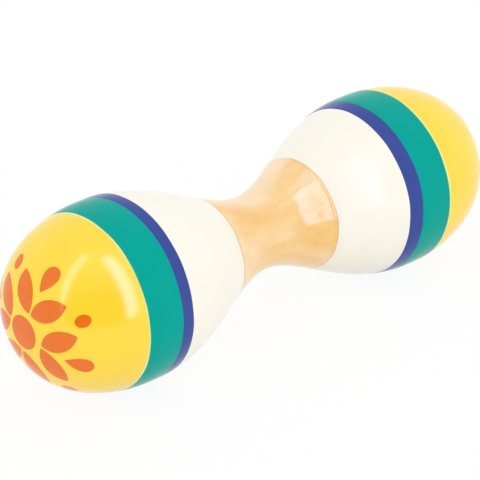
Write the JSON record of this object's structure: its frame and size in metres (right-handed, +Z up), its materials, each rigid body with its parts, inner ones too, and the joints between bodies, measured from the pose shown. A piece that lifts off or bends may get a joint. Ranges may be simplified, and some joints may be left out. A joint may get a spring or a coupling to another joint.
{
  "type": "double maraca",
  "caption": "Double-ended turned wooden rattle: a hollow painted head of loose beads on each end of a waisted grip, shaken by hand.",
  "frame": {"origin": "on the surface that the maraca lies on, under the middle of the grip", "axes": "+X along the maraca's axis towards the right head, +Z up"},
  "size_m": [0.1504, 0.0478, 0.0479],
  "materials": {
    "natural_wood": "clear gloss varnish",
    "cream_paint": "gloss paint on turned wood",
    "yellow_paint": "gloss paint on turned wood",
    "teal_paint": "gloss paint on turned wood",
    "purple_paint": "gloss paint on turned wood",
    "orange_print": "print on gloss paint",
    "bead_steel": "polished"
  },
  "bodies": {
    "shell": {"handle": "natural_wood", "left_bowl": "cream_paint", "left_dome": "yellow_paint", "right_bowl": "cream_paint", "right_dome": "yellow_paint"},
    "left_bead_1": {"left_bead_1": "bead_steel"},
    "left_bead_2": {"left_bead_2": "bead_steel"},
    "left_bead_3": {"left_bead_3": "bead_steel"},
    "left_bead_4": {"left_bead_4": "bead_steel"},
    "left_bead_5": {"left_bead_5": "bead_steel"},
    "left_bead_6": {"left_bead_6": "bead_steel"},
    "left_bead_7": {"left_bead_7": "bead_steel"},
    "left_bead_8": {"left_bead_8": "bead_steel"},
    "left_bead_9": {"left_bead_9": "bead_steel"},
    "left_bead_10": {"left_bead_10": "bead_steel"},
    "left_bead_11": {"left_bead_11": "bead_steel"},
    "left_bead_12": {"left_bead_12": "bead_steel"},
    "right_bead_1": {"right_bead_1": "bead_steel"},
    "right_bead_2": {"right_bead_2": "bead_steel"},
    "right_bead_3": {"right_bead_3": "bead_steel"},
    "right_bead_4": {"right_bead_4": "bead_steel"},
    "right_bead_5": {"right_bead_5": "bead_steel"},
    "right_bead_6": {"right_bead_6": "bead_steel"},
    "right_bead_7": {"right_bead_7": "bead_steel"},
    "right_bead_8": {"right_bead_8": "bead_steel"},
    "right_bead_9": {"right_bead_9": "bead_steel"},
    "right_bead_10": {"right_bead_10": "bead_steel"},
    "right_bead_11": {"right_bead_11": "bead_steel"},
    "right_bead_12": {"right_bead_12": "bead_steel"}
  },
  "joints": [
    {"name": "left_bead_1_hop", "type": "slide", "parent": "shell", "child": "left_bead_1", "axis": [0, 0, 1], "range_m": [0, 0.0284]},
    {"name": "left_bead_2_hop", "type": "slide", "parent": "shell", "child": "left_bead_2", "axis": [0, 0, 1], "range_m": [0, 0.0284]},
    {"name": "left_bead_3_hop", "type": "slide", "parent": "shell", "child": "left_bead_3", "axis": [0, 0, 1], "range_m": [0, 0.0284]},
    {"name": "left_bead_4_hop", "type": "slide", "parent": "shell", "child": "left_bead_4", "axis": [0, 0, 1], "range_m": [0, 0.0284]},
    {"name": "left_bead_5_run", "type": "slide", "parent": "shell", "child": "left_bead_5", "axis": [1, 0, 0], "range_m": [0, 0.00895]},
    {"name": "left_bead_6_run", "type": "slide", "parent": "shell", "child": "left_bead_6", "axis": [-1, 0, 0], "range_m": [0, 0.00895]},
    {"name": "left_bead_7_run", "type": "slide", "parent": "shell", "child": "left_bead_7", "axis": [1, 0, 0], "range_m": [0, 0.00895]},
    {"name": "left_bead_8_run", "type": "slide", "parent": "shell", "child": "left_bead_8", "axis": [-1, 0, 0], "range_m": [0, 0.00895]},
    {"name": "left_bead_9_run", "type": "slide", "parent": "shell", "child": "left_bead_9", "axis": [1, 0, 0], "range_m": [0, 0.00895]},
    {"name": "left_bead_10_run", "type": "slide", "parent": "shell", "child": "left_bead_10", "axis": [-1, 0, 0], "range_m": [0, 0.00895]},
    {"name": "left_bead_11_run", "type": "slide", "parent": "shell", "child": "left_bead_11", "axis": [1, 0, 0], "range_m": [0, 0.00895]},
    {"name": "left_bead_12_run", "type": "slide", "parent": "shell", "child": "left_bead_12", "axis": [-1, 0, 0], "range_m": [0, 0.00895]},
    {"name": "right_bead_1_hop", "type": "slide", "parent": "shell", "child": "right_bead_1", "axis": [0, 0, 1], "range_m": [0, 0.0284]},
    {"name": "right_bead_2_hop", "type": "slide", "parent": "shell", "child": "right_bead_2", "axis": [0, 0, 1], "range_m": [0, 0.0284]},
    {"name": "right_bead_3_hop", "type": "slide", "parent": "shell", "child": "right_bead_3", "axis": [0, 0, 1], "range_m": [0, 0.0284]},
    {"name": "right_bead_4_hop", "type": "slide", "parent": "shell", "child": "right_bead_4", "axis": [0, 0, 1], "range_m": [0, 0.0284]},
    {"name": "right_bead_5_run", "type": "slide", "parent": "shell", "child": "right_bead_5", "axis": [-1, 0, 0], "range_m": [0, 0.00895]},
    {"name": "right_bead_6_run", "type": "slide", "parent": "shell", "child": "right_bead_6", "axis": [1, 0, 0], "range_m": [0, 0.00895]},
    {"name": "right_bead_7_run", "type": "slide", "parent": "shell", "child": "right_bead_7", "axis": [-1, 0, 0], "range_m": [0, 0.00895]},
    {"name": "right_bead_8_run", "type": "slide", "parent": "shell", "child": "right_bead_8", "axis": [1, 0, 0], "range_m": [0, 0.00895]},
    {"name": "right_bead_9_run", "type": "slide", "parent": "shell", "child": "right_bead_9", "axis": [-1, 0, 0], "range_m": [0, 0.00895]},
    {"name": "right_bead_10_run", "type": "slide", "parent": "shell", "child": "right_bead_10", "axis": [1, 0, 0], "range_m": [0, 0.00895]},
    {"name": "right_bead_11_run", "type": "slide", "parent": "shell", "child": "right_bead_11", "axis": [-1, 0, 0], "range_m": [0, 0.00895]},
    {"name": "right_bead_12_run", "type": "slide", "parent": "shell", "child": "right_bead_12", "axis": [1, 0, 0], "range_m": [0, 0.00895]}
  ]
}
